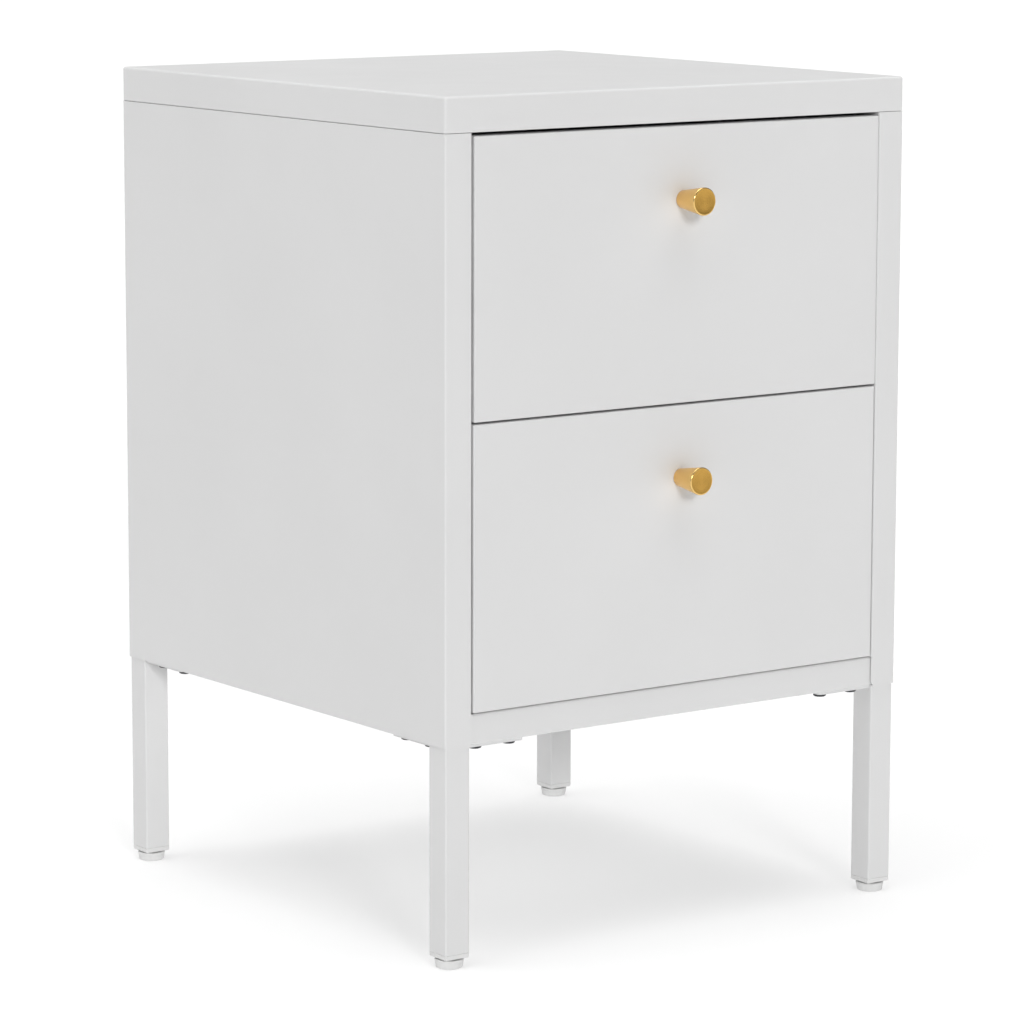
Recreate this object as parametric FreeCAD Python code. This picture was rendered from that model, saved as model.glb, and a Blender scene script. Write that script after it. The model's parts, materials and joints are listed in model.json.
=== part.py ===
import FreeCAD, Part
import math
import os

# Two-drawer sheet-metal cabinet on four square legs.
# Millimetres. +X is to the right seen from the front, +Y points to the back, +Z is up.
# The origin is on the floor, under the middle of the bounding box (knobs and rear screws included).

Vector = FreeCAD.Vector
X_AXIS = Vector(1, 0, 0)
Y_AXIS = Vector(0, 1, 0)
Z_AXIS = Vector(0, 0, 1)

# ---- cabinet ----
WIDTH = 400.0
DEPTH = 410.0
HEIGHT = 595.0
BODY_BOTTOM = 155.0
SKIRT_HEIGHT = 24.5
POST_WIDTH = 22.0
RAIL_HEIGHT = 21.0
SHEET = 0.8
BEND_INSIDE = 0.7
SLIP = 0.2                      # gap between sheets that only lie beside each other
OVER = 1.0                      # how far a cutting block reaches past the faces it cuts
TOLERANCE = 1e-6

# ---- top cover ----
COVER_RADIUS = 2.0
SKIRT_EDGE_RADIUS = 0.4
COVER_RETURN = 12.0
COVER_GAP = 0.3                 # seam between the skirts and the panels below them
COVER_PIP_RADIUS = 5.0          # raised rings round the screws that hold that gap
COVER_SCREW_INSET = 60.0        # from the cabinet's front and rear

# ---- side, bottom and back panels ----
POST_RETURN = 18.0
POST_CORNER_RADIUS = 4.0
TOP_FLANGE = 14.0
TOP_BEND_INSIDE = 0.2           # pressed tight, so that the seam under the cover is a hairline
REAR_FLANGE = 15.0
BEND_RELIEF = 2.2
STUB_HEIGHT = 3.0
RAIL_RETURN = 16.0
RAIL_GAP = 0.9                  # between the rail and the posts in front of its ends
RAIL_OVERLAP = 14.0             # how far each end reaches behind its post
UPSTAND = 15.0
BACK_SCREW_SHARES = (0.1, 0.37, 0.63, 0.9)      # heights of the rear flanges' screws
BACK_FOOT_SCREW_XS = (-120.0, 0.0, 120.0)
BACK_FOOT_SCREW_RISE = 8.5

# ---- drawers ----
TOP_GAP = 2.6
MIDDLE_GAP = 1.5
BOTTOM_GAP = 1.0
SIDE_GAP = 1.2
GAP_BETWEEN_DRAWERS_Z = 375.0   # middle of the gap between the two fronts
FRONT_THICKNESS = 16.0
FRONT_RADIUS = 1.0
FRONT_LIP_SIDE = 28.0
FRONT_LIP_BOTTOM = 14.0
FRONT_LIP_OVERLAP = 8.0         # upper lip's reach down over the tray's front wall
TRAY_DEPTH = 360.0
TRAY_HEIGHT = 150.0
TRAY_FLOOR_RISE = 10.0          # tray floor above the front's lower edge
TRAY_HEM = 8.0
TRAY_RADIUS = 1.5
FRONT_SCREW_INSET = 9.0         # from the tray's sides
FRONT_SCREW_RISES = (25.0, 125.0)

# ---- knobs ----
KNOB_LENGTH = 24.0
KNOB_BASE_RADIUS = 6.4
KNOB_BASE_ROUND = 1.0
KNOB_FACE_RADIUS = 9.75
KNOB_RIM = 0.8
KNOB_LAND = 0.5                 # flat ring between the rim and the dish
KNOB_DISH = 0.25
KNOB_DROP = 50.6                # knob axis below the front's upper edge
KNOB_BORE_DEPTH = 9.5

# ---- ball-bearing runners (u: from the support towards the tray, v: up from the runner's middle) ----
RUNNER_LENGTH = 350.0
RUNNER_THICKNESS = 12.7
RUNNER_RISE = 45.0              # runner's middle above the tray floor
RUNNER_SETBACK = 20.0           # runner's front end behind the cabinet's front
SUPPORT_SHEET = 1.0
SUPPORT_FACE = 177.5            # half the distance between the supports' faces
SUPPORT_HALF_CROWN = 19.0
SUPPORT_FLANGE = 9.0
CABINET_RAIL_SHEET = 1.2
CABINET_RAIL = {"half_height": 16.9, "edge_u": 9.4, "lip_v": 15.4}
MOVING_RAIL_SHEET = 1.0
MIDDLE_RAIL = {"half_height": 12.5, "web_u": 3.5, "edge_u": 10.0}
DRAWER_RAIL = {"half_height": 8.5, "edge_u": 6.3}
RAIL_BEND_INSIDE = 0.4
OUTER_CAGE = {
    "web_u": 2.1, "edge_u": 8.4, "row_v": 14.65, "ball_u": 6.0, "ball_radius": 1.4,
    "start": 110.0, "length": 120.0,
}
INNER_CAGE = {
    "web_u": 4.7, "edge_u": 9.6, "row_v": 10.5, "ball_u": 7.6, "ball_radius": 1.25,
    "start": 120.0, "length": 110.0,
}
CAGE_SHEET = 0.6
CAGE_BEND_INSIDE = 0.2
BALLS_PER_ROW = 9
BALL_PLAY = 0.2
HOOK_REACH = 3.0
HOOK_HALF_LENGTH = 3.5
HOOK_HALF_THICKNESS = 0.6
HOOK_PLAY = 0.5
RUNNER_FIXINGS = (30.0, 175.0, 320.0)   # hooks and screws, from the runner's front end

# ---- legs and feet ----
LEG_SIZE = 20.0
LEG_WALL = 1.5
LEG_RADIUS = 1.2
LEG_INSET = 1.0
EAR_THICKNESS = 2.0
EAR_REACH = 68.0                # ear's end from the cabinet's outer face
EAR_INSET = 3.0                 # ear's long edge from the cabinet's outer face
EAR_WIDTH = 17.0
EAR_RADIUS = 3.0
EAR_HOLES = (32.6, 60.9)        # from the cabinet's outer face
PLUG_BOTTOM = 7.2
PLUG_BAND = 3.6
PLUG_CHAMFER = 0.8
PLUG_JOINT_CHAMFER = 0.4
PLUG_SPIGOT = 15.2
PAD_TOP = 6.4
PAD_TOP_RADIUS = 10.1
PAD_TOP_CHAMFER = 0.5
PAD_BOTTOM_RADIUS = 9.4
PAD_ROUND = 1.5
STUD_RADIUS = 4.0
STUD_TOP = 40.0
STUD_TIP_CHAMFER = 1.0
STUD_FLANGE_RADIUS = 6.1
STUD_FLANGE_BOTTOM = 2.0
STUD_FLANGE_TOP = 4.0
STUD_SHOULDER_RADIUS = 5.4
FOOT_NUT_FLATS = 13.0
FOOT_NUT_HEIGHT = 6.5
THREAD_PLAY = 0.05

# ---- screws ----
LEG_SCREW = {"head_radius": 4.8, "head_height": 2.7, "radius": 2.5, "length": 12.0}
LEG_NUT_FLATS = 8.0
LEG_NUT_HEIGHT = 4.0
PANEL_SCREW = {"head_radius": 3.6, "head_height": 1.8, "radius": 1.9, "length": 6.0}
DRAWER_SCREW = {"head_radius": 3.2, "head_height": 1.8, "radius": 1.9, "length": 4.0}
KNOB_SCREW = {"head_radius": 3.8, "head_height": 2.2, "radius": 2.0, "length": 24.8}
HEAD_DOME = 0.55                # these five are shares of the head's height, head's radius or shank's radius
TIP_CHAMFER = 0.3
RECESS_REACH = 0.55
RECESS_HALF_WIDTH = 0.12
RECESS_FLOOR = 0.45
HOLE_PLAY = 0.15

# ---- worked-out places ----
HALF_WIDTH = WIDTH / 2
TOTAL_DEPTH = KNOB_LENGTH + DEPTH + PANEL_SCREW["head_height"]
FRONT_Y = KNOB_LENGTH - TOTAL_DEPTH / 2
REAR_Y = FRONT_Y + DEPTH
SEAM_Z = HEIGHT - SKIRT_HEIGHT
PANEL_TOP = SEAM_Z - COVER_GAP
OPENING_HALF = HALF_WIDTH - POST_WIDTH
RAIL_TOP = BODY_BOTTOM + RAIL_HEIGHT
RAIL_FACE_Y = FRONT_Y + SHEET + RAIL_GAP
BACK_PANEL_Y = REAR_Y - SHEET
TRAY_FRONT_Y = FRONT_Y + FRONT_THICKNESS
TRAY_HALF = SUPPORT_FACE - RUNNER_THICKNESS
RUNNER_Y = FRONT_Y + RUNNER_SETBACK
LEG_TOP = BODY_BOTTOM
PLUG_TOP = PLUG_BOTTOM + PLUG_BAND

DRAWERS = {
    "upper": {
        "bottom": GAP_BETWEEN_DRAWERS_Z + MIDDLE_GAP / 2,
        "top": SEAM_Z - TOP_GAP,
        "side_play": 0.7,       # this front hangs to the right in its opening
    },
    "lower": {
        "bottom": RAIL_TOP + BOTTOM_GAP,
        "top": GAP_BETWEEN_DRAWERS_Z - MIDDLE_GAP / 2,
        "side_play": 0.2,       # and this one less so
    },
}


# ---- general shapes ----

def box(x0, x1, y0, y1, z0, z1):
    """Axis-aligned block between two corners."""
    return Part.makeBox(x1 - x0, y1 - y0, z1 - z0, Vector(x0, y0, z0))


def rod(radius, start, end):
    """Round bar from start to end."""
    return Part.makeCylinder(radius, (end - start).Length, start, end - start)


def runs_along(edge, axis):
    """True if a straight edge is parallel to axis."""
    ends = edge.Vertexes[1].Point - edge.Vertexes[0].Point
    return abs(abs(ends.normalize().dot(axis)) - 1) < TOLERANCE


def edges_at(shape, axis, place):
    """Edges that lie wholly in the plane square to axis at place."""
    return [e for e in shape.Edges if all(abs(v.Point.dot(axis) - place) < TOLERANCE for v in e.Vertexes)]


def bent_strip(points, thickness, inside_radius, place, sweep):
    """Folded sheet: a strip of even thickness along a flat path, with round bends, swept straight.

    points are the middle of the sheet in the section's own plane, and place turns them into 3-D.
    """
    half = thickness / 2
    middle_radius = inside_radius + half
    stations = [(points[0], points[1])]
    for before, corner, after in zip(points, points[1:], points[2:]):
        stations.append((before, corner, after))
    stations.append((points[-2], points[-1]))
    edges_of_side = {}
    for side in (1, -1):
        last = offset_point(points[0], points[0], points[1], side * half)
        edges = []
        for station in stations[1:-1]:
            start, middle, end = bend_arc(station, middle_radius, side * half)
            edges.append(Part.makeLine(place(*last), place(*start)))
            edges.append(Part.Arc(place(*start), place(*middle), place(*end)).toShape())
            last = end
        finish = offset_point(points[-1], points[-2], points[-1], side * half)
        edges.append(Part.makeLine(place(*last), place(*finish)))
        edges_of_side[side] = edges
    caps = [
        Part.makeLine(edges_of_side[1][0].Vertexes[0].Point, edges_of_side[-1][0].Vertexes[0].Point),
        Part.makeLine(edges_of_side[1][-1].Vertexes[-1].Point, edges_of_side[-1][-1].Vertexes[-1].Point),
    ]
    outline = edges_of_side[1] + edges_of_side[-1] + caps
    return Part.Face(Part.Wire(Part.__sortEdges__(outline))).extrude(sweep)


def offset_point(point, start, end, distance):
    """point moved sideways off the line from start to end."""
    length = math.dist(start, end)
    along = ((end[0] - start[0]) / length, (end[1] - start[1]) / length)
    return (point[0] - along[1] * distance, point[1] + along[0] * distance)


def bend_arc(station, radius, distance):
    """Start, middle and end of the bend at a corner, on the surface that lies distance off the middle."""
    before, corner, after = station
    into = Vector(corner[0] - before[0], corner[1] - before[1], 0).normalize()
    out = Vector(after[0] - corner[0], after[1] - corner[1], 0).normalize()
    turn = into.getAngle(out)
    left = 1 if into.cross(out).z > 0 else -1
    tangent = radius * math.tan(turn / 2)
    start = Vector(corner[0], corner[1], 0) - into * tangent
    inward = Vector(-into.y, into.x, 0) * left
    centre = start + inward * radius
    surface_radius = radius - left * distance
    towards_corner = (Vector(corner[0], corner[1], 0) - centre).normalize()
    first = centre - inward * surface_radius
    last = centre - Vector(-out.y, out.x, 0) * left * surface_radius
    between = centre + towards_corner * surface_radius
    return (first.x, first.y), (between.x, between.y), (last.x, last.y)


def mirrored(shape):
    """The right-hand twin of a left-hand piece."""
    return shape.mirror(Vector(0, 0, 0), X_AXIS)


def hexagon_bar(flats, height, base):
    """Upright hexagonal bar."""
    corner = flats / math.sqrt(3)
    points = [
        base + Vector(corner * math.cos(math.radians(60 * k)), corner * math.sin(math.radians(60 * k)), 0)
        for k in range(7)
    ]
    return Part.Face(Part.makePolygon(points)).extrude(Vector(0, 0, height))


def nut(flats, height, bore, base):
    """Upright hexagonal nut with a plain hole for its thread."""
    return hexagon_bar(flats, height, base).cut(Part.makeCylinder(bore, height, base))


def pan_screw(size, seat, direction):
    """Pan-head screw with a cross recess: its head sits on seat, and its shank points along direction."""
    head_radius = size["head_radius"]
    height = size["head_height"]
    head = Part.makeCylinder(head_radius, height, Vector(0, 0, -height))
    head = head.makeFillet(height * HEAD_DOME, edges_at(head, Z_AXIS, -height))
    shank = Part.makeCylinder(size["radius"], size["length"])
    shank = shank.makeChamfer(size["radius"] * TIP_CHAMFER, edges_at(shank, Z_AXIS, size["length"]))
    screw = head.fuse(shank)
    reach = head_radius * RECESS_REACH
    width = head_radius * RECESS_HALF_WIDTH
    recess = box(-reach, reach, -width, width, -height - OVER, -height * RECESS_FLOOR)
    screw = screw.cut(recess).cut(recess.rotated(Vector(0, 0, 0), Z_AXIS, 90)).removeSplitter()
    screw.Placement = FreeCAD.Placement(seat, FreeCAD.Rotation(Z_AXIS, direction))
    return screw


def drilled(shape, size, seats, direction, depth):
    """shape with a clearance hole for each screw."""
    for seat in seats:
        start = seat - direction * OVER
        shape = shape.cut(rod(size["radius"] + HOLE_PLAY, start, seat + direction * depth))
    return shape


# ---- where the screws sit ----

def cover_screw_seats():
    """Under the side panels' top flanges, pointing up into the cover's return."""
    z = PANEL_TOP - SHEET
    x = HALF_WIDTH - COVER_RETURN / 2 - SHEET
    ys = (FRONT_Y + COVER_SCREW_INSET, REAR_Y - COVER_SCREW_INSET)
    return [Vector(sign * x, y, z) for sign in (-1, 1) for y in ys]


def back_flange_screw_seats():
    """On the outside of the side panels' rear flanges, pointing forward."""
    x = HALF_WIDTH - REAR_FLANGE / 2
    span = SEAM_Z - BODY_BOTTOM
    heights = [BODY_BOTTOM + span * share for share in BACK_SCREW_SHARES]
    return [Vector(sign * x, REAR_Y, z) for sign in (-1, 1) for z in heights]


def back_foot_screw_seats():
    """On the back panel's lower edge, pointing forward into the bottom panel's upstand."""
    return [Vector(x, BACK_PANEL_Y, BODY_BOTTOM + BACK_FOOT_SCREW_RISE) for x in BACK_FOOT_SCREW_XS]


def leg_corner(left, front):
    """Directions towards the cabinet's inside, and the cabinet's outer corner, at one leg."""
    inward_x = 1 if left else -1
    inward_y = 1 if front else -1
    return inward_x, inward_y, -inward_x * HALF_WIDTH, FRONT_Y if front else REAR_Y


def leg_screw_seats(left, front):
    """Undersides of the two ears of one leg, pointing up."""
    inward_x, inward_y, x, y = leg_corner(left, front)
    middle = EAR_INSET + EAR_WIDTH / 2
    z = BODY_BOTTOM - EAR_THICKNESS
    along_x = [Vector(x + inward_x * reach, y + inward_y * middle, z) for reach in EAR_HOLES]
    along_y = [Vector(x + inward_x * middle, y + inward_y * reach, z) for reach in EAR_HOLES]
    return along_x + along_y


LEGS = {
    "front_left": (True, True),
    "front_right": (False, True),
    "rear_left": (True, False),
    "rear_right": (False, False),
}


def all_leg_screw_seats():
    return [seat for corner in LEGS.values() for seat in leg_screw_seats(*corner)]


def tray_floor(drawer):
    return drawer["bottom"] + TRAY_FLOOR_RISE


def runner_middle(drawer):
    return tray_floor(drawer) + RUNNER_RISE


def front_screw_seats(drawer):
    """Inside the tray's front wall, pointing forward into the front's lips."""
    x = TRAY_HALF - FRONT_SCREW_INSET
    floor = tray_floor(drawer)
    y = TRAY_FRONT_Y + SHEET
    return [Vector(sign * x, y, floor + rise) for sign in (-1, 1) for rise in FRONT_SCREW_RISES]


def runner_screw_seats(drawer, sign):
    """On the web of the drawer rail, pointing into the tray. sign is -1 on the left."""
    x = sign * (TRAY_HALF + MOVING_RAIL_SHEET)
    return [Vector(x, RUNNER_Y + place, runner_middle(drawer)) for place in RUNNER_FIXINGS]


def knob_axis(drawer):
    return Vector(drawer["side_play"], FRONT_Y, drawer["top"] - KNOB_DROP)


# ---- cabinet shell ----

def top_cover():
    """Shallow tray turned upside down: top, four skirts and a narrow return under them."""
    outer = box(-HALF_WIDTH, HALF_WIDTH, FRONT_Y, REAR_Y, SEAM_Z, HEIGHT)
    round_edges = [e for e in outer.Edges if runs_along(e, Z_AXIS)] + edges_at(outer, Z_AXIS, HEIGHT)
    outer = outer.makeFillet(COVER_RADIUS, round_edges)
    outer = outer.makeFillet(SKIRT_EDGE_RADIUS, edges_at(outer, Z_AXIS, SEAM_Z))
    cavity = box(
        -HALF_WIDTH + SHEET, HALF_WIDTH - SHEET,
        FRONT_Y + SHEET, REAR_Y - SHEET,
        SEAM_Z + SHEET, HEIGHT - SHEET,
    )
    cavity = cavity.makeFillet(COVER_RADIUS - SHEET, [e for e in cavity.Edges if runs_along(e, Z_AXIS)])
    cavity = cavity.makeFillet(COVER_RADIUS - SHEET, edges_at(cavity, Z_AXIS, HEIGHT - SHEET))
    mouth = box(
        -HALF_WIDTH + COVER_RETURN, HALF_WIDTH - COVER_RETURN,
        FRONT_Y + COVER_RETURN, REAR_Y - COVER_RETURN,
        SEAM_Z - OVER, SEAM_Z + 2 * SHEET,
    )
    cover = outer.cut(cavity).cut(mouth)
    return drilled(cover, PANEL_SCREW, cover_screw_seats(), Z_AXIS, 3 * SHEET)


def side_panel():
    """Left side: web, front post with its return, rear flange and top flange, folded from one sheet."""
    half = SHEET / 2
    web_x = -HALF_WIDTH + half
    section = [
        (-OPENING_HALF - half, FRONT_Y + POST_RETURN),
        (-OPENING_HALF - half, FRONT_Y + half),
        (web_x, FRONT_Y + half),
        (web_x, REAR_Y - half),
        (-HALF_WIDTH + REAR_FLANGE, REAR_Y - half),
    ]
    panel = bent_strip(
        section, SHEET, BEND_INSIDE,
        lambda x, y: Vector(x, y, BODY_BOTTOM),
        Vector(0, 0, SEAM_Z - BODY_BOTTOM),
    )
    flange_from = FRONT_Y + BEND_RELIEF
    flange_to = REAR_Y - BEND_RELIEF
    flange_z = PANEL_TOP - half
    flange = bent_strip(
        [(web_x, SEAM_Z - STUB_HEIGHT), (web_x, flange_z), (-HALF_WIDTH + TOP_FLANGE, flange_z)],
        SHEET, TOP_BEND_INSIDE,
        lambda x, z: Vector(x, flange_from, z),
        Vector(0, flange_to - flange_from, 0),
    )
    cover_seats = [seat for seat in cover_screw_seats() if seat.x < 0]
    pip_height = Z_AXIS * (SHEET + COVER_GAP)
    pips = [rod(COVER_PIP_RADIUS, seat + Z_AXIS * half, seat + pip_height) for seat in cover_seats]
    panel = panel.cut(flange_room(flange_from, flange_to)).cut(post_trims())
    panel = panel.fuse([flange, post_foot()] + pips).removeSplitter()
    panel = drilled(panel, PANEL_SCREW, cover_seats, Z_AXIS, 2 * SHEET + COVER_GAP)
    return drilled(panel, PANEL_SCREW, [s for s in back_flange_screw_seats() if s.x < 0], -Y_AXIS, 2 * SHEET)


def flange_room(start, end):
    """What is cut from the web's upper edge, where the top flange takes its place."""
    return box(
        -HALF_WIDTH - OVER, -HALF_WIDTH + BEND_RELIEF,
        start, end,
        SEAM_Z - STUB_HEIGHT, SEAM_Z + OVER,
    )


def post_trims():
    """What is cut from the left post: a hair off its top, and its bend and return in front of the rail."""
    top = box(
        -HALF_WIDTH - OVER, -HALF_WIDTH + REAR_FLANGE + POST_WIDTH,
        FRONT_Y - OVER, REAR_Y + OVER,
        PANEL_TOP, SEAM_Z + OVER,
    )
    foot = box(
        -OPENING_HALF - SHEET - BEND_INSIDE, -OPENING_HALF + OVER,
        FRONT_Y - OVER, FRONT_Y + POST_RETURN + OVER,
        BODY_BOTTOM - OVER, RAIL_TOP + SLIP,
    )
    return top.fuse(foot)


def post_foot():
    """Flat end of the left post, in front of the rail, with its inner corner rounded."""
    foot = box(
        -OPENING_HALF - POST_CORNER_RADIUS - OVER, -OPENING_HALF,
        FRONT_Y, FRONT_Y + SHEET,
        BODY_BOTTOM, RAIL_TOP + SLIP,
    )
    inner = [e for e in edges_at(foot, X_AXIS, -OPENING_HALF) if runs_along(e, Y_AXIS)]
    lowest = min(inner, key=lambda edge: edge.BoundBox.ZMin)
    return foot.makeFillet(POST_CORNER_RADIUS, [lowest])


def bottom_panel():
    """Floor of the cabinet with the front rail folded up behind the posts, and upstands on three sides."""
    half = SHEET / 2
    rear = BACK_PANEL_Y - SHEET - half
    section = [
        (FRONT_Y + RAIL_RETURN, RAIL_TOP - half),
        (RAIL_FACE_Y + half, RAIL_TOP - half),
        (RAIL_FACE_Y + half, BODY_BOTTOM + half),
        (rear, BODY_BOTTOM + half),
        (rear, BODY_BOTTOM + UPSTAND),
    ]
    rail_half = OPENING_HALF + RAIL_OVERLAP
    panel = bent_strip(
        section, SHEET, BEND_INSIDE,
        lambda y, z: Vector(-rail_half, y, z),
        Vector(2 * rail_half, 0, 0),
    )
    side_x = -HALF_WIDTH + SHEET + SLIP + half
    wing_from = RAIL_FACE_Y + SHEET + BEND_INSIDE
    wing = bent_strip(
        [(side_x, BODY_BOTTOM + UPSTAND), (side_x, BODY_BOTTOM + half), (-rail_half, BODY_BOTTOM + half)],
        SHEET, BEND_INSIDE,
        lambda x, z: Vector(x, wing_from, z),
        Vector(0, rear - half - BEND_INSIDE - wing_from, 0),
    )
    panel = panel.fuse([wing, mirrored(wing)]).removeSplitter()
    panel = drilled(panel, LEG_SCREW, all_leg_screw_seats(), Z_AXIS, 2 * EAR_THICKNESS)
    return drilled(panel, PANEL_SCREW, back_foot_screw_seats(), -Y_AXIS, 3 * SHEET)


def back_panel():
    """Flat sheet screwed to the inside of the rear flanges."""
    half_width = HALF_WIDTH - SHEET - BEND_INSIDE - SLIP
    panel = box(
        -half_width, half_width,
        BACK_PANEL_Y - SHEET, BACK_PANEL_Y,
        BODY_BOTTOM + SLIP, PANEL_TOP - SHEET - SLIP,
    )
    seats = back_flange_screw_seats() + back_foot_screw_seats()
    return drilled(panel, PANEL_SCREW, seats, -Y_AXIS, 3 * SHEET)


# ---- legs and levelling feet ----

def leg(left, front):
    """Square tube closed at its top by a welded plate, whose two drilled ears form an L."""
    inward_x, inward_y, x, y = leg_corner(left, front)
    x_out = x + inward_x * LEG_INSET
    y_out = y + inward_y * LEG_INSET
    x_in = x_out + inward_x * LEG_SIZE
    y_in = y_out + inward_y * LEG_SIZE
    tube = upright_square(x_out, x_in, y_out, y_in, 0.0, LEG_RADIUS, PLUG_TOP, LEG_TOP)
    bore_top = LEG_TOP - EAR_THICKNESS
    bore = upright_square(x_out, x_in, y_out, y_in, LEG_WALL, LEG_RADIUS / 2, PLUG_TOP, bore_top)
    middle = leg_axis(left, front)
    x_end = x + inward_x * EAR_REACH
    y_end = y + inward_y * EAR_REACH
    x_edges = (x + inward_x * EAR_INSET, x + inward_x * (EAR_INSET + EAR_WIDTH))
    y_edges = (y + inward_y * EAR_INSET, y + inward_y * (EAR_INSET + EAR_WIDTH))
    ears = [
        leg_ear((middle.x, x_end, *y_edges), X_AXIS, x_end),
        leg_ear((*x_edges, middle.y, y_end), Y_AXIS, y_end),
    ]
    welded = tube.cut(bore).fuse(ears).removeSplitter()
    return drilled(welded, LEG_SCREW, leg_screw_seats(left, front), Z_AXIS, 2 * EAR_THICKNESS)


def leg_ear(span, axis, end):
    """Flat ear over span (x, x, y, y), with the two corners at its far end rounded."""
    ear = sorted_box(*span, LEG_TOP - EAR_THICKNESS, LEG_TOP)
    return ear.makeFillet(EAR_RADIUS, [e for e in edges_at(ear, axis, end) if runs_along(e, Z_AXIS)])


def sorted_box(x0, x1, y0, y1, z0, z1):
    """Block between corners given in any order."""
    return box(min(x0, x1), max(x0, x1), min(y0, y1), max(y0, y1), z0, z1)


def upright_square(x0, x1, y0, y1, inset, radius, z0, z1):
    """Upright square bar, shrunk by inset, with round vertical edges."""
    xs = sorted((x0, x1))
    ys = sorted((y0, y1))
    bar = box(xs[0] + inset, xs[1] - inset, ys[0] + inset, ys[1] - inset, z0, z1)
    return bar.makeFillet(radius, [e for e in bar.Edges if runs_along(e, Z_AXIS)])


def leg_axis(left, front):
    """Point on the floor under the middle of one leg."""
    inward_x, inward_y, x, y = leg_corner(left, front)
    middle = LEG_INSET + LEG_SIZE / 2
    return Vector(x + inward_x * middle, y + inward_y * middle, 0)


def leg_plug(left, front):
    """Plastic end plug: a band as wide as the tube, a spigot inside it and a pocket for the foot's nut."""
    middle = leg_axis(left, front)
    half = LEG_SIZE / 2
    spigot_inset = LEG_WALL + SLIP
    band = upright_square(
        middle.x - half, middle.x + half, middle.y - half, middle.y + half,
        0.0, LEG_RADIUS, PLUG_BOTTOM, PLUG_TOP,
    )
    band = band.makeChamfer(PLUG_CHAMFER, edges_at(band, Z_AXIS, PLUG_BOTTOM))
    band = band.makeChamfer(PLUG_JOINT_CHAMFER, edges_at(band, Z_AXIS, PLUG_TOP))
    spigot_top = PLUG_TOP + PLUG_SPIGOT
    spigot = upright_square(
        middle.x - half, middle.x + half, middle.y - half, middle.y + half,
        spigot_inset, LEG_RADIUS / 2, PLUG_TOP, spigot_top,
    )
    pocket_base = Vector(middle.x, middle.y, spigot_top - FOOT_NUT_HEIGHT)
    pocket = hexagon_bar(FOOT_NUT_FLATS + SLIP, FOOT_NUT_HEIGHT + OVER, pocket_base)
    bore = rod(STUD_RADIUS + 2 * HOLE_PLAY, middle, middle + Z_AXIS * STUD_TOP)
    return band.fuse(spigot).removeSplitter().cut(pocket).cut(bore)


def foot_nut(left, front):
    """Nut held in the plug's pocket."""
    middle = leg_axis(left, front)
    base = Vector(middle.x, middle.y, PLUG_TOP + PLUG_SPIGOT - FOOT_NUT_HEIGHT)
    return nut(FOOT_NUT_FLATS, FOOT_NUT_HEIGHT, STUD_RADIUS + THREAD_PLAY, base)


def turned(points_and_arcs, middle):
    """Solid of revolution about the upright axis through middle.

    Each entry is (radius, z), or ((radius, z), (radius, z)) for an arc's middle and end.
    """
    def place(point):
        return Vector(middle.x + point[0], middle.y, point[1])

    edges = []
    here = points_and_arcs[0]
    for entry in points_and_arcs[1:] + [points_and_arcs[0]]:
        if isinstance(entry[0], tuple):
            through, end = entry
            edges.append(Part.Arc(place(here), place(through), place(end)).toShape())
        else:
            end = entry
            edges.append(Part.makeLine(place(here), place(end)))
        here = end
    profile = Part.Face(Part.Wire(edges))
    return profile.revolve(Vector(middle.x, middle.y, 0), Z_AXIS, 360)


def foot_pad(left, front):
    """Round plastic pad that snaps over the stud's flange and lets it turn."""
    bore = STUD_RADIUS + 2 * HOLE_PLAY
    groove = STUD_FLANGE_RADIUS + 2 * HOLE_PLAY
    diagonal = PAD_ROUND * (1 - math.sqrt(0.5))
    return turned(
        [
            (0, 0),
            (PAD_BOTTOM_RADIUS - PAD_ROUND, 0),
            ((PAD_BOTTOM_RADIUS - diagonal, diagonal), (PAD_BOTTOM_RADIUS, PAD_ROUND)),
            (PAD_TOP_RADIUS, PAD_TOP - PAD_TOP_CHAMFER),
            (PAD_TOP_RADIUS - PAD_TOP_CHAMFER, PAD_TOP),
            (bore, PAD_TOP),
            (bore, STUD_FLANGE_TOP + SLIP),
            (groove, STUD_FLANGE_TOP + SLIP),
            (groove, STUD_FLANGE_BOTTOM - SLIP),
            (0, STUD_FLANGE_BOTTOM - SLIP),
        ],
        leg_axis(left, front),
    )


def foot_stud(left, front):
    """Stud with a plain bar for its thread, the flange that the pad holds and a shoulder that stops it."""
    return turned(
        [
            (0, STUD_FLANGE_BOTTOM),
            (STUD_FLANGE_RADIUS, STUD_FLANGE_BOTTOM),
            (STUD_FLANGE_RADIUS, STUD_FLANGE_TOP),
            (STUD_RADIUS, STUD_FLANGE_TOP),
            (STUD_RADIUS, PAD_TOP),
            (STUD_SHOULDER_RADIUS, PAD_TOP),
            (STUD_SHOULDER_RADIUS, PLUG_BOTTOM),
            (STUD_RADIUS, PLUG_BOTTOM),
            (STUD_RADIUS, STUD_TOP - STUD_TIP_CHAMFER),
            (STUD_RADIUS - STUD_TIP_CHAMFER, STUD_TOP),
            (0, STUD_TOP),
        ],
        leg_axis(left, front),
    )


# ---- runners, all drawn on the left side ----

def runner_strip(section, sheet, drawer, start, length, inside_radius=RAIL_BEND_INSIDE):
    """Left-hand runner profile: section points are (u, v)."""
    middle = runner_middle(drawer)
    return bent_strip(
        section, sheet, inside_radius,
        lambda u, v: Vector(-SUPPORT_FACE + u, RUNNER_Y + start, middle + v),
        Vector(0, length, 0),
    )


def up_and_down(points):
    """A section's upper half, followed by its mirror image."""
    return points + [(u, -v) for u, v in reversed(points)]


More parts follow.
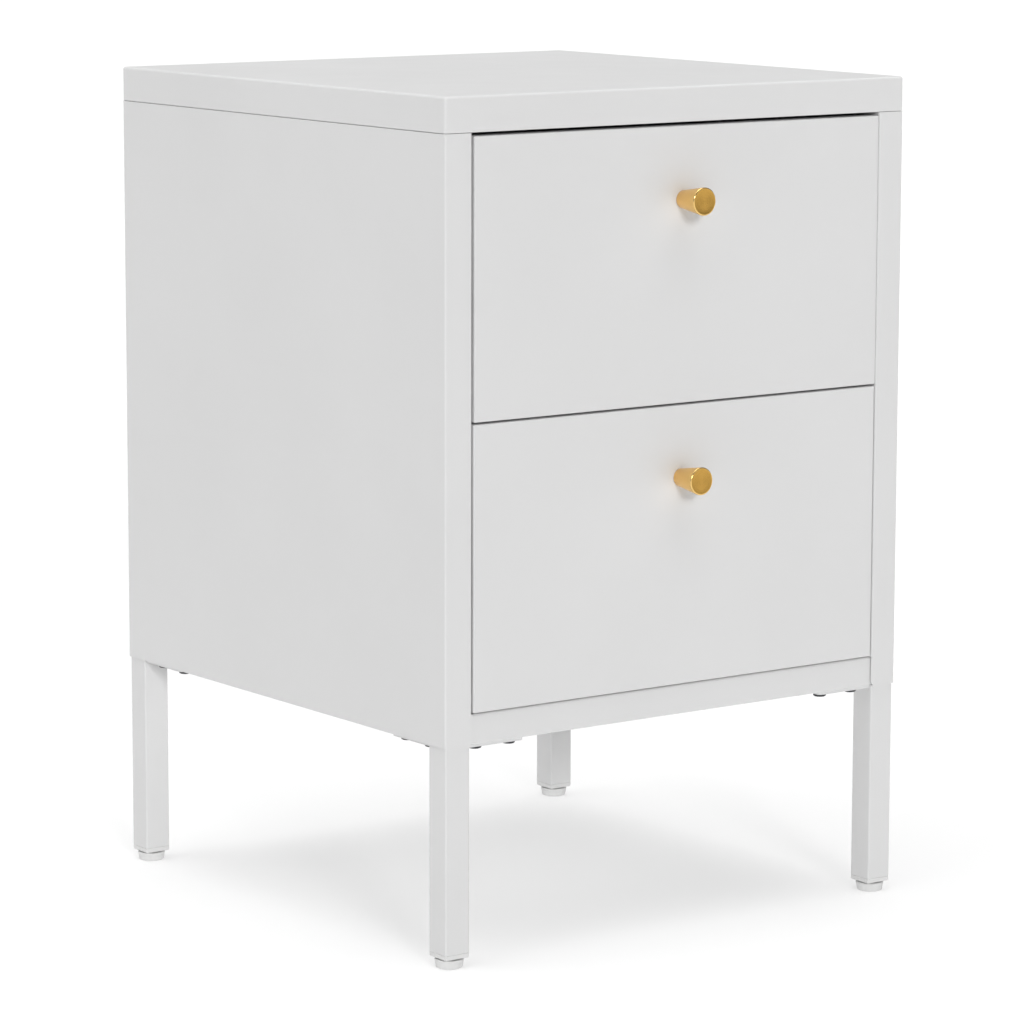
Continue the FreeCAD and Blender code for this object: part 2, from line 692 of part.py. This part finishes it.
def runner_support(drawer):
    """Hat-shaped bracket on the side panel that brings the runner clear of the post."""
    half = SUPPORT_SHEET / 2
    wall = SUPPORT_FACE - (HALF_WIDTH - SHEET) + half
    section = up_and_down([
        (wall, SUPPORT_HALF_CROWN + SUPPORT_FLANGE),
        (wall, SUPPORT_HALF_CROWN),
        (-half, SUPPORT_HALF_CROWN),
    ])
    support = runner_strip(section, SUPPORT_SHEET, drawer, 0, RUNNER_LENGTH, BEND_INSIDE)
    for place in RUNNER_FIXINGS:
        support = support.cut(hook(drawer, place, HOOK_PLAY))
    return support


def hook(drawer, place, play):
    """Tab on the back of the cabinet rail; with play, the slot that takes it."""
    z = runner_middle(drawer)
    y = RUNNER_Y + place
    x = -SUPPORT_FACE
    return box(
        x - HOOK_REACH - 2 * play, x + 2 * play,
        y - HOOK_HALF_LENGTH - play, y + HOOK_HALF_LENGTH + play,
        z - HOOK_HALF_THICKNESS - play, z + HOOK_HALF_THICKNESS + play,
    )


def cabinet_rail(drawer):
    """Outer member, hooked into the support."""
    web = CABINET_RAIL_SHEET / 2
    top = CABINET_RAIL["half_height"]
    edge = CABINET_RAIL["edge_u"]
    section = up_and_down([(edge, CABINET_RAIL["lip_v"]), (edge, top), (web, top)])
    rail = runner_strip(section, CABINET_RAIL_SHEET, drawer, 0, RUNNER_LENGTH)
    tabs = [hook(drawer, place, 0) for place in RUNNER_FIXINGS]
    return rail.fuse(tabs).removeSplitter()


def middle_rail(drawer):
    """Middle member, which moves half as far as the drawer."""
    top = MIDDLE_RAIL["half_height"]
    section = up_and_down([(MIDDLE_RAIL["edge_u"], top), (MIDDLE_RAIL["web_u"], top)])
    return runner_strip(section, MOVING_RAIL_SHEET, drawer, 0, RUNNER_LENGTH)


def drawer_rail(drawer):
    """Inner member, screwed to the tray."""
    web = RUNNER_THICKNESS - MOVING_RAIL_SHEET / 2
    top = DRAWER_RAIL["half_height"]
    section = up_and_down([(DRAWER_RAIL["edge_u"], top), (web, top)])
    rail = runner_strip(section, MOVING_RAIL_SHEET, drawer, 0, RUNNER_LENGTH)
    return drilled(rail, DRAWER_SCREW, runner_screw_seats(drawer, -1), X_AXIS, 2 * MOVING_RAIL_SHEET)


def ball_cage(drawer, cage):
    """Folded strip between two members, with two rows of balls in its pockets."""
    section = up_and_down([(cage["edge_u"], cage["row_v"]), (cage["web_u"], cage["row_v"])])
    strip = runner_strip(section, CAGE_SHEET, drawer, cage["start"], cage["length"], CAGE_BEND_INSIDE)
    pitch = cage["length"] / BALLS_PER_ROW
    x = -SUPPORT_FACE + cage["ball_u"]
    radius = cage["ball_radius"]
    balls = []
    for k in range(BALLS_PER_ROW):
        y = RUNNER_Y + cage["start"] + pitch * (k + 0.5)
        for sign in (-1, 1):
            centre = Vector(x, y, runner_middle(drawer) + sign * cage["row_v"])
            strip = strip.cut(rod(radius + BALL_PLAY, centre - Z_AXIS, centre + Z_AXIS))
            balls.append(Part.makeSphere(radius, centre))
    return Part.makeCompound([strip] + balls)


def outer_ball_cage(drawer):
    return ball_cage(drawer, OUTER_CAGE)


def inner_ball_cage(drawer):
    return ball_cage(drawer, INNER_CAGE)


# ---- drawers ----

def drawer_front(drawer):
    """Flat pan: face, four returns and lips behind them that the tray is screwed to."""
    half = OPENING_HALF - SIDE_GAP
    x0 = -half + drawer["side_play"]
    x1 = half + drawer["side_play"]
    back = FRONT_Y + FRONT_THICKNESS
    outer = box(x0, x1, FRONT_Y, back, drawer["bottom"], drawer["top"])
    round_edges = [e for e in outer.Edges if runs_along(e, Y_AXIS)] + edges_at(outer, Y_AXIS, FRONT_Y)
    outer = outer.makeFillet(FRONT_RADIUS, round_edges)
    cavity = box(
        x0 + SHEET, x1 - SHEET,
        FRONT_Y + SHEET, back - SHEET,
        drawer["bottom"] + SHEET, drawer["top"] - SHEET,
    )
    round_edges = [e for e in cavity.Edges if runs_along(e, Y_AXIS)]
    round_edges += edges_at(cavity, Y_AXIS, FRONT_Y + SHEET)
    cavity = cavity.makeFillet(FRONT_RADIUS - SHEET, round_edges)
    mouth = box(
        x0 + FRONT_LIP_SIDE, x1 - FRONT_LIP_SIDE,
        back - 2 * SHEET, back + OVER,
        drawer["bottom"] + FRONT_LIP_BOTTOM, tray_floor(drawer) + TRAY_HEIGHT - FRONT_LIP_OVERLAP,
    )
    front = outer.cut(cavity).cut(mouth)
    front = drilled(front, DRAWER_SCREW, front_screw_seats(drawer), -Y_AXIS, 4 * SHEET)
    return front.cut(knob_screw_hole(drawer))


def knob_screw_hole(drawer):
    middle = knob_axis(drawer)
    past_tray = middle + Y_AXIS * (FRONT_THICKNESS + SHEET + OVER)
    return rod(KNOB_SCREW["radius"] + HOLE_PLAY, middle - Y_AXIS * OVER, past_tray)


def drawer_tray(drawer):
    """Open box with a safe edge folded inward round its rim."""
    floor = tray_floor(drawer)
    rim = floor + TRAY_HEIGHT
    back = TRAY_FRONT_Y + TRAY_DEPTH
    outer = box(-TRAY_HALF, TRAY_HALF, TRAY_FRONT_Y, back, floor, rim)
    round_edges = [e for e in outer.Edges if runs_along(e, Z_AXIS)] + edges_at(outer, Z_AXIS, floor)
    outer = outer.makeFillet(TRAY_RADIUS, round_edges)
    outer = outer.makeFillet(SKIRT_EDGE_RADIUS, edges_at(outer, Z_AXIS, rim))
    cavity = box(
        -TRAY_HALF + SHEET, TRAY_HALF - SHEET,
        TRAY_FRONT_Y + SHEET, back - SHEET,
        floor + SHEET, rim - SHEET,
    )
    round_edges = [e for e in cavity.Edges if runs_along(e, Z_AXIS)] + edges_at(cavity, Z_AXIS, floor + SHEET)
    cavity = cavity.makeFillet(TRAY_RADIUS - SHEET, round_edges)
    mouth = box(
        -TRAY_HALF + TRAY_HEM, TRAY_HALF - TRAY_HEM,
        TRAY_FRONT_Y + TRAY_HEM, back - TRAY_HEM,
        rim - 2 * SHEET, rim + OVER,
    )
    tray = outer.cut(cavity).cut(mouth)
    tray = drilled(tray, DRAWER_SCREW, front_screw_seats(drawer), -Y_AXIS, 2 * SHEET)
    tray = drilled(tray, DRAWER_SCREW, runner_screw_seats(drawer, -1), X_AXIS, 4 * SHEET)
    tray = drilled(tray, DRAWER_SCREW, runner_screw_seats(drawer, 1), -X_AXIS, 4 * SHEET)
    return tray.cut(knob_screw_hole(drawer))


def knob(drawer):
    """Tapered knob, widest at its face, with a rounded rim, a shallow turned dish and a blind bore."""
    rim_start = KNOB_LENGTH - KNOB_RIM
    face = KNOB_FACE_RADIUS - KNOB_RIM
    diagonal = KNOB_RIM * (1 - math.sqrt(0.5))
    base = KNOB_BASE_RADIUS - KNOB_BASE_ROUND
    base_diagonal = KNOB_BASE_ROUND * (1 - math.sqrt(0.5))
    dish = face - KNOB_LAND
    bore = KNOB_SCREW["radius"] + THREAD_PLAY
    shape = turned(
        [
            (bore, 0),
            (base, 0),
            ((KNOB_BASE_RADIUS - base_diagonal, base_diagonal), (KNOB_BASE_RADIUS, KNOB_BASE_ROUND)),
            (KNOB_FACE_RADIUS, rim_start),
            ((KNOB_FACE_RADIUS - diagonal, KNOB_LENGTH - diagonal), (face, KNOB_LENGTH)),
            (dish, KNOB_LENGTH),
            (dish - KNOB_DISH, KNOB_LENGTH - KNOB_DISH),
            (0, KNOB_LENGTH - KNOB_DISH),
            (0, KNOB_BORE_DEPTH),
            (bore, KNOB_BORE_DEPTH),
        ],
        Vector(0, 0, 0),
    )
    shape.Placement = FreeCAD.Placement(knob_axis(drawer), FreeCAD.Rotation(Z_AXIS, -Y_AXIS))
    return shape


def knob_screw(drawer):
    seat = knob_axis(drawer) + Y_AXIS * (FRONT_THICKNESS + SHEET)
    return pan_screw(KNOB_SCREW, seat, -Y_AXIS)


def drawer_screws(drawer):
    screws = [pan_screw(DRAWER_SCREW, seat, -Y_AXIS) for seat in front_screw_seats(drawer)]
    screws += [pan_screw(DRAWER_SCREW, seat, X_AXIS) for seat in runner_screw_seats(drawer, -1)]
    screws += [pan_screw(DRAWER_SCREW, seat, -X_AXIS) for seat in runner_screw_seats(drawer, 1)]
    return Part.makeCompound(screws)


# ---- fasteners of the cabinet ----

def leg_screws():
    return Part.makeCompound([pan_screw(LEG_SCREW, seat, Z_AXIS) for seat in all_leg_screw_seats()])


def leg_nuts():
    lift = Vector(0, 0, EAR_THICKNESS + SHEET)
    bore = LEG_SCREW["radius"] + THREAD_PLAY
    nuts = [nut(LEG_NUT_FLATS, LEG_NUT_HEIGHT, bore, seat + lift) for seat in all_leg_screw_seats()]
    return Part.makeCompound(nuts)


def foot_nuts():
    return Part.makeCompound([foot_nut(*corner) for corner in LEGS.values()])


def panel_screws():
    screws = [pan_screw(PANEL_SCREW, seat, Z_AXIS) for seat in cover_screw_seats()]
    rear = back_flange_screw_seats() + back_foot_screw_seats()
    screws += [pan_screw(PANEL_SCREW, seat, -Y_AXIS) for seat in rear]
    return Part.makeCompound(screws)


# ---- assembly ----

def all_nodes():
    """Every sub-part by name."""
    left_panel = side_panel()
    nodes = {
        "top_cover": top_cover(),
        "left_side_panel": left_panel,
        "right_side_panel": mirrored(left_panel),
        "bottom_panel": bottom_panel(),
        "back_panel": back_panel(),
        "leg_screws": leg_screws(),
        "leg_nuts": leg_nuts(),
        "foot_nuts": foot_nuts(),
        "panel_screws": panel_screws(),
    }
    for name, corner in LEGS.items():
        nodes[name + "_leg"] = leg(*corner)
        nodes[name + "_leg_plug"] = leg_plug(*corner)
        nodes[name + "_foot_pad"] = foot_pad(*corner)
        nodes[name + "_foot_stud"] = foot_stud(*corner)
    for name, drawer in DRAWERS.items():
        nodes[name + "_drawer_front"] = drawer_front(drawer)
        nodes[name + "_drawer_tray"] = drawer_tray(drawer)
        nodes[name + "_drawer_screws"] = drawer_screws(drawer)
        nodes[name + "_knob"] = knob(drawer)
        nodes[name + "_knob_screw"] = knob_screw(drawer)
        for piece, make in RUNNER_PIECES.items():
            shape = make(drawer)
            nodes[name + "_left_" + piece] = shape
            nodes[name + "_right_" + piece] = mirrored(shape)
    return nodes


RUNNER_PIECES = {
    "runner_support": runner_support,
    "cabinet_rail": cabinet_rail,
    "middle_rail": middle_rail,
    "drawer_rail": drawer_rail,
    "outer_ball_cage": outer_ball_cage,
    "inner_ball_cage": inner_ball_cage,
}


def main():
    os.makedirs("parts", exist_ok=True)
    nodes = all_nodes()
    for name, shape in nodes.items():
        sound = shape.isValid() and all(solid.Volume > 0 for solid in shape.Solids)
        print(f"{name:34s} solids {len(shape.Solids):3d}  volume {shape.Volume:10.1f}  sound {sound}")
        shape.exportStep("parts/" + name + ".step")
    print(len(nodes), "nodes")


main()
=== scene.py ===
import json
import math

import bmesh
import bpy
from mathutils import Matrix, Vector


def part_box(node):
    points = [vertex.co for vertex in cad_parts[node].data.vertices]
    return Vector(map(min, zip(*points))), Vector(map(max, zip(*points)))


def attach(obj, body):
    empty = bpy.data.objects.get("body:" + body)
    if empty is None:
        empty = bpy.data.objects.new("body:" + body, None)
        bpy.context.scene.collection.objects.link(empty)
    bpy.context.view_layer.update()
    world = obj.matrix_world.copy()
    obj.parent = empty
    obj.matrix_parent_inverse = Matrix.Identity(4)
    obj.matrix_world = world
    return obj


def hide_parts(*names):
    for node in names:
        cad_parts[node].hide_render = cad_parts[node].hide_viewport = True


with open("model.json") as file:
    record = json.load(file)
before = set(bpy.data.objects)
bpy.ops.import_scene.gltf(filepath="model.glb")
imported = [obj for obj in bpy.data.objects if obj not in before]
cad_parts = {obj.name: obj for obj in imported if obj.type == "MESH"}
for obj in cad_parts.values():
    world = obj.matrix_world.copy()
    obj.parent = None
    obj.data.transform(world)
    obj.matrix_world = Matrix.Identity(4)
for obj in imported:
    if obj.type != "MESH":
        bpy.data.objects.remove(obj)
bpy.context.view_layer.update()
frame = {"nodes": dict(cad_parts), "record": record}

MM = 0.001

# ---- the plane of the cabinet's front, read from the frame ----
FRONT_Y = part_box("top_cover")[0].y

# ---- camera ----
CAMERA_OFFSET = Vector((-1.8945, -2.3943, 0.7859))     # from the foot of the front, in its middle
CAMERA_YAW = math.radians(36.16)                       # clockwise from +Y
CAMERA_PITCH = math.radians(9.07)                      # downwards
CAMERA_ROLL = math.radians(0.13)
CAMERA_LENS_MM = 155.94
CAMERA_SENSOR_MM = 36.0
CAMERA_NEAR, CAMERA_FAR = 0.1, 200                     # metres

# ---- lights ----
# Azimuth 0 is straight in front, and negative is to the left. Spread is the sun's width. These
# angles are in degrees.
KEY = {"azimuth": -19, "elevation": 17, "spread": 12, "strength": 1.18}
SIDE_FILL = {"azimuth": -100, "elevation": 35, "spread": 60, "strength": 0.68}

# The sky's grey at each height: 0 is the horizon, and 1 is straight up.
SKY = [(0.0, 0.166), (0.08, 0.055), (0.25, 0.004), (0.75, 0.004), (0.9, 0.38), (1.0, 1.0)]
SKY_STRENGTH = 4.9

# ---- floor ----
FLOOR_SIZE = 60.0                                      # metres
FLOOR_GLOW = 0.5                                       # its own light, which keeps the shadow pale

# ---- colours, linear ----
PAINT = (0.69, 0.69, 0.69)
NYLON = (0.70, 0.70, 0.695)
BRASS_SIDE = (0.87, 0.56, 0.20)
# the face is the same brass as the side, made darker: painted shade for the darker surroundings the
# flat face reflects
BRASS_FACE_SHADED = (0.55, 0.32, 0.075)
BRASS_RIM = (0.80, 0.54, 0.20)
ZINC = (0.62, 0.63, 0.64)
CAGE = (0.45, 0.45, 0.44)
BLACK_OXIDE = (0.035, 0.035, 0.038)
FLOOR = (0.50, 0.50, 0.50)

# ---- textures ----
NOISE_LOW, NOISE_HIGH = 0.3, 0.7                       # most of a noise texture lies between these
TOOL_MARKS = 5200.0                                    # marks per metre on turned brass

# ---- knobs ----
KNOB_FOOT = 0.656                                      # foot's radius, as a share of the face's
KNOB_EASE = 1.0 * MM                                   # radius of the foot's eased edge
KNOB_EASE_END = -12                                    # degrees, close to the side's own slope
KNOB_RIM = 0.7 * MM                                    # radius of the rim's rounding
KNOB_DISH = 0.25 * MM                                  # depth of the face's dish
KNOB_DISH_START = 1.2                                  # rim radii in from the widest point
KNOB_DISH_HALFWAY = 2.2                                # where it is half as deep, in the same unit
KNOB_DISH_FLOOR = 0.45                                 # its floor, as a share of the face's radius
KNOB_SEGMENTS = 128
KNOB_ARC_STEPS = 8


# ---- node materials ----

class Shader:
    """A node material with one Principled shader, built up a layer at a time."""

    def __init__(self, name, colour, roughness, metallic=0.0, **sockets):
        self.material = bpy.data.materials.new(name)
        self.material.use_nodes = True
        self.tree = self.material.node_tree
        self.shader = self.tree.nodes["Principled BSDF"]
        self.shader.inputs["Metallic"].default_value = metallic
        self.shader.inputs["Roughness"].default_value = roughness
        self.shader.inputs["Base Color"].default_value = (*colour, 1)
        for socket, value in sockets.items():
            self.shader.inputs[socket.replace("_", " ")].default_value = value
        self.colour = colour
        self.place = self.node("ShaderNodeTexCoord").outputs["Object"]
        self.normal = None

    def node(self, kind, settings=None, **inputs):
        """New node. Each input is a value or a socket to link; _ stands for a space in its name."""
        made = self.tree.nodes.new(kind)
        for name, value in (settings or {}).items():
            setattr(made, name, value)
        for name, value in inputs.items():
            socket = made.inputs[name.replace("_", " ")]
            if isinstance(value, bpy.types.NodeSocket):
                self.tree.links.new(value, socket)
            else:
                socket.default_value = value
        return made

    def stretched(self, stretch):
        """Object coordinates multiplied by stretch along X, Y and Z."""
        made = self.node("ShaderNodeMapping", Vector=self.place, Scale=stretch)
        return made.outputs["Vector"]

    def noise(self, scale, detail, stretch=None):
        """Noise with scale cells per metre, before any stretch."""
        place = self.stretched(stretch) if stretch else self.place
        made = self.node("ShaderNodeTexNoise", Vector=place, Scale=scale, Detail=detail)
        return made.outputs["Fac"]

    def remap(self, noise, low, high):
        """Noise spread over low to high."""
        made = self.node(
            "ShaderNodeMapRange",
            Value=noise, From_Min=NOISE_LOW, From_Max=NOISE_HIGH, To_Min=low, To_Max=high,
        )
        return made.outputs["Result"]

    def tint(self, noise, dark, light):
        """Colour runs with the noise from dark to light times the base colour."""
        ramp = self.node("ShaderNodeValToRGB", Fac=self.remap(noise, 0, 1))
        for stop, factor in zip(ramp.color_ramp.elements, (dark, light)):
            stop.color = (*[c * factor for c in self.colour], 1)
        self.tree.links.new(ramp.outputs["Color"], self.shader.inputs["Base Color"])

    def roughen(self, noise, low, high):
        """Roughness runs with the noise from low to high."""
        self.tree.links.new(self.remap(noise, low, high), self.shader.inputs["Roughness"])

    def bump(self, noise, height, strength):
        """Adds relief of that height in metres on top of the relief so far."""
        inputs = {"Height": noise, "Distance": height, "Strength": strength}
        if self.normal:
            inputs["Normal"] = self.normal
        self.normal = self.node("ShaderNodeBump", **inputs).outputs["Normal"]
        self.tree.links.new(self.normal, self.shader.inputs["Normal"])


def powder_coat():
    """Matt coat with a fine orange peel and a slight mottle."""
    s = Shader("powder_coat", PAINT, 0.6, Specular_IOR_Level=0.2)
    s.tint(s.noise(7, 4), dark=0.985, light=1.012)
    s.roughen(s.noise(30, 3), low=0.56, high=0.66)
    s.bump(s.noise(520, 3), height=6e-5, strength=0.5)
    s.bump(s.noise(2600, 2), height=2e-5, strength=0.5)
    return s.material


def nylon():
    """Moulded plastic with a spark-eroded grain."""
    s = Shader("moulded_nylon", NYLON, 0.48)
    s.tint(s.noise(60, 3), dark=0.97, light=1.02)
    s.roughen(s.noise(300, 2), low=0.42, high=0.54)
    s.bump(s.noise(2400, 3), height=4e-5, strength=0.6)
    return s.material


def zinc():
    """Bright zinc plate on rolled steel, with its grain along Y, as the runners lie."""
    s = Shader("zinc_plate", ZINC, 0.3, metallic=1.0)
    s.tint(s.noise(45, 4, stretch=(1, 0.25, 1)), dark=0.86, light=1.06)
    s.roughen(s.noise(900, 3, stretch=(1, 0.03, 1)), low=0.24, high=0.4)
    s.bump(s.noise(1500, 2, stretch=(1, 0.02, 1)), height=2e-5, strength=0.5)
    return s.material


def pressed_cage():
    """Bare pressed steel, with uneven handling marks."""
    s = Shader("pressed_cage", CAGE, 0.32, metallic=1.0)
    s.tint(s.noise(250, 3), dark=0.8, light=1.15)
    s.roughen(s.noise(700, 2), low=0.22, high=0.42)
    s.bump(s.noise(1800, 2), height=1e-5, strength=0.5)
    return s.material


def black_oxide():
    """Blackened screws, rubbed a little lighter in patches."""
    s = Shader("black_oxide", BLACK_OXIDE, 0.38, metallic=0.6)
    s.tint(s.noise(420, 4), dark=0.7, light=2.2)
    s.roughen(s.noise(900, 3), low=0.3, high=0.5)
    s.bump(s.noise(2200, 3), height=2e-5, strength=0.5)
    return s.material


def brass(name, colour, roughness, anisotropic, along):
    """Turned brass. Its tool marks step along the knob's axis, "y", or outwards, "radius"."""
    s = Shader(name, colour, roughness, metallic=1.0, Anisotropic=anisotropic)
    axes = s.node("ShaderNodeSeparateXYZ", Vector=s.place)
    if along == "radius":
        flat = s.node("ShaderNodeCombineXYZ", X=axes.outputs["X"], Y=axes.outputs["Z"])
        across = flat.outputs["Vector"]
        radius = s.node("ShaderNodeVectorMath", {"operation": "LENGTH"}, Vector=across)
        steps = radius.outputs["Value"]
    else:
        steps = axes.outputs["Y"]
    texture = s.node(
        "ShaderNodeTexNoise", {"noise_dimensions": "1D"}, W=steps, Scale=TOOL_MARKS, Detail=3.0,
    )
    marks = texture.outputs["Fac"]
    tangent = s.node("ShaderNodeTangent", {"direction_type": "RADIAL", "axis": "Y"})
    s.tree.links.new(tangent.outputs["Tangent"], s.shader.inputs["Tangent"])
    s.tint(marks, dark=0.93, light=1.05)
    s.roughen(marks, low=roughness * 0.85, high=roughness * 1.15)
    s.bump(marks, height=1e-5, strength=0.35)
    return s.material


def floor_material():
    """Matt white stage floor that glows a little."""
    s = Shader("pale_floor", FLOOR, 0.9, Specular_IOR_Level=0.1, Emission_Strength=FLOOR_GLOW)
    s.tint(s.noise(2, 3), dark=0.995, light=1.0)
    return s.material


MATERIALS = {
    "shell_paint": powder_coat(),
    "foot_plastic": nylon(),
    "runner_steel": zinc(),
    "cage_steel": pressed_cage(),
    "black_screw": black_oxide(),
}
MATERIALS["zinc_steel"] = MATERIALS["runner_steel"]      # nuts, studs and the plated screws


def finish_cad_nodes():
    """Every CAD node takes its slot's material, except the knobs, which make_knob replaces."""
    for entry in frame["record"]["subparts"]:
        node = frame["nodes"][entry["node"]]
        material = MATERIALS.get(entry["material_slot"])
        if material:
            node.data.materials.clear()
            node.data.materials.append(material)


# ---- pieces made here ----

def lathe(name, profile, steps, materials, place):
    """Turned piece about the Y axis through place.

    profile is a list of (radius, y, material index of the band that starts there).
    """
    mesh = bpy.data.meshes.new(name)
    shape = bmesh.new()
    rings = []
    for radius, y, _ in profile:
        if radius == 0:
            rings.append([shape.verts.new((0, y, 0))])
            continue
        ring = []
        for k in range(steps):
            a = 2 * math.pi * k / steps
            ring.append(shape.verts.new((radius * math.cos(a), y, radius * math.sin(a))))
        rings.append(ring)
    for (here, there), (_, _, index) in zip(zip(rings, rings[1:]), profile):
        for k in range(steps):
            corners = [ring[k % len(ring)] for ring in (here, there)]
            after = [ring[(k + 1) % len(ring)] for ring in (there, here)]
            face = shape.faces.new(list(dict.fromkeys(corners + after)))    # three corners at a tip
            face.material_index = index
            face.smooth = True
    bmesh.ops.recalc_face_normals(shape, faces=shape.faces)
    shape.to_mesh(mesh)
    shape.free()
    for material in materials:
        mesh.materials.append(material)
    piece = bpy.data.objects.new(name, mesh)
    piece.location = place
    bpy.context.scene.collection.objects.link(piece)
    return piece


KNOB_BRASS = [
    brass("brass_side", BRASS_SIDE, roughness=0.34, anisotropic=0.4, along="y"),
    brass("brass_rim", BRASS_RIM, roughness=0.14, anisotropic=0.0, along="y"),
    # the face takes a darker copy of the side's brass: painted shade
    brass("brass_face_painted_shade", BRASS_FACE_SHADED, roughness=0.3, anisotropic=0.6, along="radius"),
]
SIDE, RIM, FACE = range(len(KNOB_BRASS))


def arc(centre, radius, start, end, index):
    """Profile points round an arc, in degrees from straight outwards towards the knob's face."""
    points = []
    for k in range(KNOB_ARC_STEPS + 1):
        a = math.radians(start + (end - start) * k / KNOB_ARC_STEPS)
        points.append((centre[0] + radius * math.cos(a), centre[1] - radius * math.sin(a), index))
    return points


def make_knob(drawer):
    """Tapered knob with an eased foot, a rounded rim and a shallow dished face."""
    low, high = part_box(drawer + "_knob")
    length = high.y - low.y
    face_radius = (high.x - low.x) / 2
    foot_centre = face_radius * KNOB_FOOT - KNOB_EASE
    profile = [(0, 0, SIDE)]
    profile += arc((foot_centre, -KNOB_EASE), KNOB_EASE, -90, KNOB_EASE_END, SIDE)
    profile += arc((face_radius - KNOB_RIM, -(length - KNOB_RIM)), KNOB_RIM, 0, 90, RIM)
    profile += [
        (face_radius - KNOB_DISH_START * KNOB_RIM, -length, FACE),
        (face_radius - KNOB_DISH_HALFWAY * KNOB_RIM, -length + 0.5 * KNOB_DISH, FACE),
        (face_radius * KNOB_DISH_FLOOR, -length + KNOB_DISH, FACE),
        (0, -length + KNOB_DISH, FACE),
    ]
    place = Vector(((low.x + high.x) / 2, high.y, (low.z + high.z) / 2))
    knob = lathe(drawer + "_brass_knob", profile, KNOB_SEGMENTS, KNOB_BRASS, place)
    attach(knob, drawer + "_drawer")
    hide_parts(drawer + "_knob")


# ---- stage ----

def make_floor():
    """Wide pale floor under the feet."""
    mesh = bpy.data.meshes.new("floor")
    half = FLOOR_SIZE / 2
    corners = [(-half, -half, 0), (half, -half, 0), (half, half, 0), (-half, half, 0)]
    mesh.from_pydata(corners, [], [(0, 1, 2, 3)])
    mesh.materials.append(floor_material())
    floor = bpy.data.objects.new("floor", mesh)
    bpy.context.scene.collection.objects.link(floor)


def direction(azimuth, elevation):
    """Unit vector from the cabinet. Azimuth 0 is straight in front, and 90 is on the right."""
    a = math.radians(azimuth)
    e = math.radians(elevation)
    return Vector((math.sin(a) * math.cos(e), -math.cos(a) * math.cos(e), math.sin(e)))


def add_sun(name, azimuth, elevation, spread, strength):
    """Sun lamp that shines towards the cabinet from that direction."""
    light = bpy.data.lights.new(name, "SUN")
    light.energy = strength
    light.angle = math.radians(spread)
    lamp = bpy.data.objects.new(name, light)
    lamp.rotation_mode = "QUATERNION"
    lamp.rotation_quaternion = direction(azimuth, elevation).to_track_quat("Z", "Y")
    bpy.context.scene.collection.objects.link(lamp)


def make_world():
    """Pale studio: bright along the horizon and overhead, and dark between."""
    world = bpy.data.worlds.new("studio")
    world.use_nodes = True
    tree = world.node_tree
    background = tree.nodes["Background"]
    place = tree.nodes.new("ShaderNodeTexCoord").outputs["Generated"]
    axes = tree.nodes.new("ShaderNodeSeparateXYZ")
    ramp = tree.nodes.new("ShaderNodeValToRGB")
    tree.links.new(place, axes.inputs["Vector"])
    tree.links.new(axes.outputs["Z"], ramp.inputs["Fac"])
    tree.links.new(ramp.outputs["Color"], background.inputs["Color"])
    stops = ramp.color_ramp.elements
    while len(stops) < len(SKY):
        stops.new(0.5)             # moved to its own height below
    for stop, (height, grey) in zip(stops, SKY):
        stop.position = height
        stop.color = (grey, grey, grey, 1)
    background.inputs["Strength"].default_value = SKY_STRENGTH
    bpy.context.scene.world = world


def make_lights():
    add_sun("key", **KEY)
    add_sun("side_fill", **SIDE_FILL)
    make_world()


def make_camera():
    """Long lens from the front left, a little above the cabinet."""
    data = bpy.data.cameras.new("camera")
    data.lens = CAMERA_LENS_MM
    data.sensor_width = CAMERA_SENSOR_MM
    data.clip_start = CAMERA_NEAR
    data.clip_end = CAMERA_FAR
    camera = bpy.data.objects.new("camera", data)
    yaw, pitch, roll = CAMERA_YAW, CAMERA_PITCH, CAMERA_ROLL
    forward = Vector((
        math.sin(yaw) * math.cos(pitch),
        math.cos(yaw) * math.cos(pitch),
        -math.sin(pitch),
    ))
    level = Vector((math.cos(yaw), -math.sin(yaw), 0))
    above = level.cross(forward)
    right = level * math.cos(roll) + above * math.sin(roll)
    up = right.cross(forward)
    turn = Matrix((right, up, -forward)).transposed()
    place = Vector((0, FRONT_Y, 0)) + CAMERA_OFFSET
    camera.matrix_world = Matrix.Translation(place) @ turn.to_4x4()
    bpy.context.scene.collection.objects.link(camera)
    bpy.context.scene.camera = camera


finish_cad_nodes()
for drawer_name in ("upper", "lower"):
    make_knob(drawer_name)
make_floor()
make_lights()
make_camera()
bpy.context.scene.view_settings.view_transform = "Standard"
